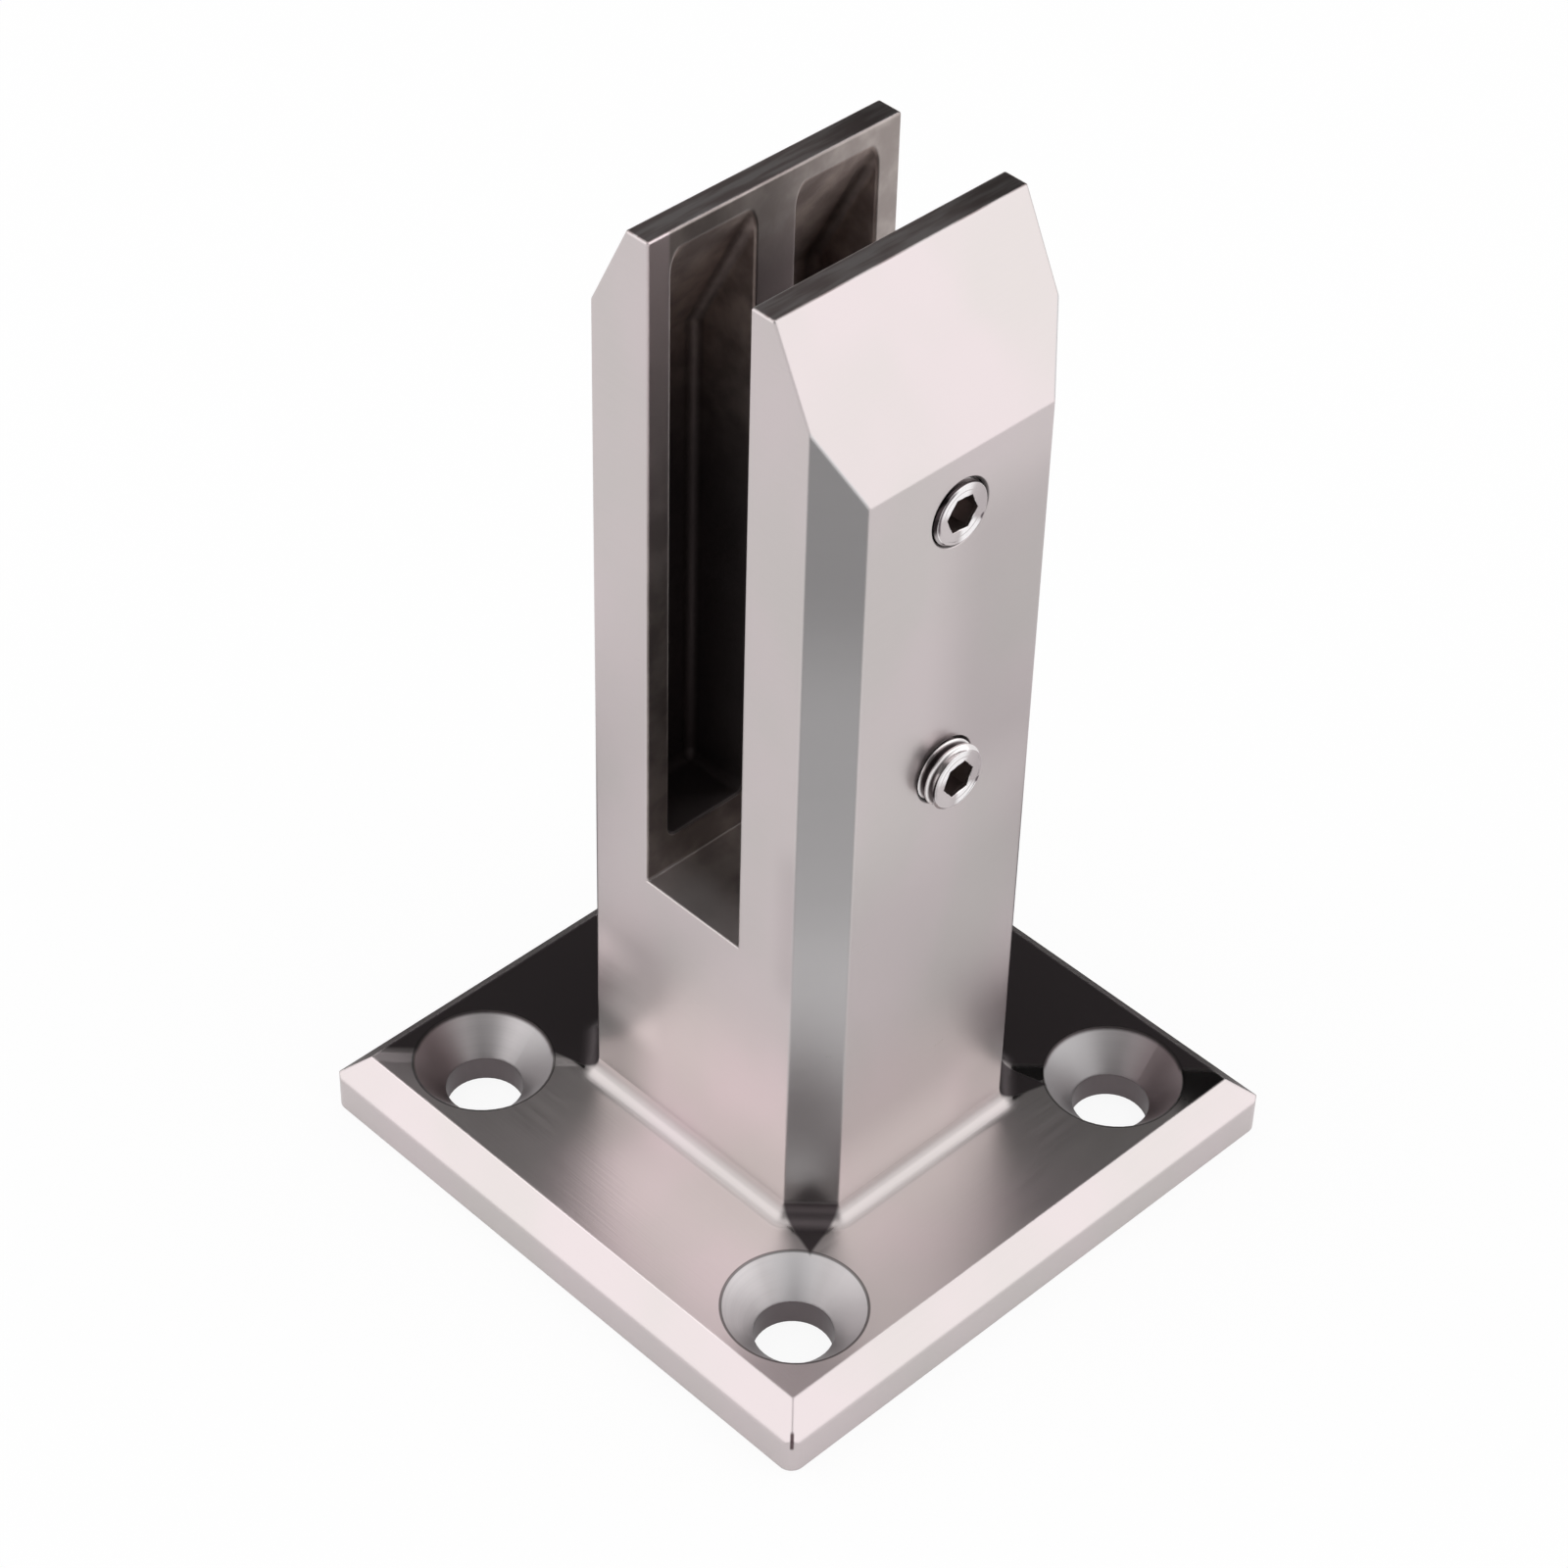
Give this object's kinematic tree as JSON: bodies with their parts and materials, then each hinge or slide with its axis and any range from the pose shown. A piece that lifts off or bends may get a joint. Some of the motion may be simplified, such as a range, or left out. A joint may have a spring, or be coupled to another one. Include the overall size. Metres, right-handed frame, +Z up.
{
  "type": "glass panel clamp",
  "caption": "Balustrade post clamp for a frameless glass panel: bevelled base plate with countersunk fixing holes, a slotted post and hex-socket grub screws that press on the glass.",
  "frame": {"origin": "middle of the base plate's underside", "axes": "+Z up the post, +X along the glass panel, -Y out of the face that carries the grub screws"},
  "size_m": [0.1, 0.1, 0.1656],
  "materials": {
    "casting_steel": "satin brushed stainless steel, raw cast inside the pockets",
    "screw_steel": "bright stainless steel"
  },
  "bodies": {
    "post": {"spigot_casting": "casting_steel"},
    "upper_screw": {"upper_grub_screw": "screw_steel"},
    "lower_screw": {"lower_grub_screw": "screw_steel"}
  },
  "joints": [
    {"name": "upper_screw_travel", "type": "slide", "parent": "post", "child": "upper_screw", "axis": [0, 1, 0], "range_m": [-0.009, 0.009]},
    {"name": "lower_screw_travel", "type": "slide", "parent": "post", "child": "lower_screw", "axis": [0, 1, 0], "range_m": [-0.0067, 0.0113]}
  ]
}
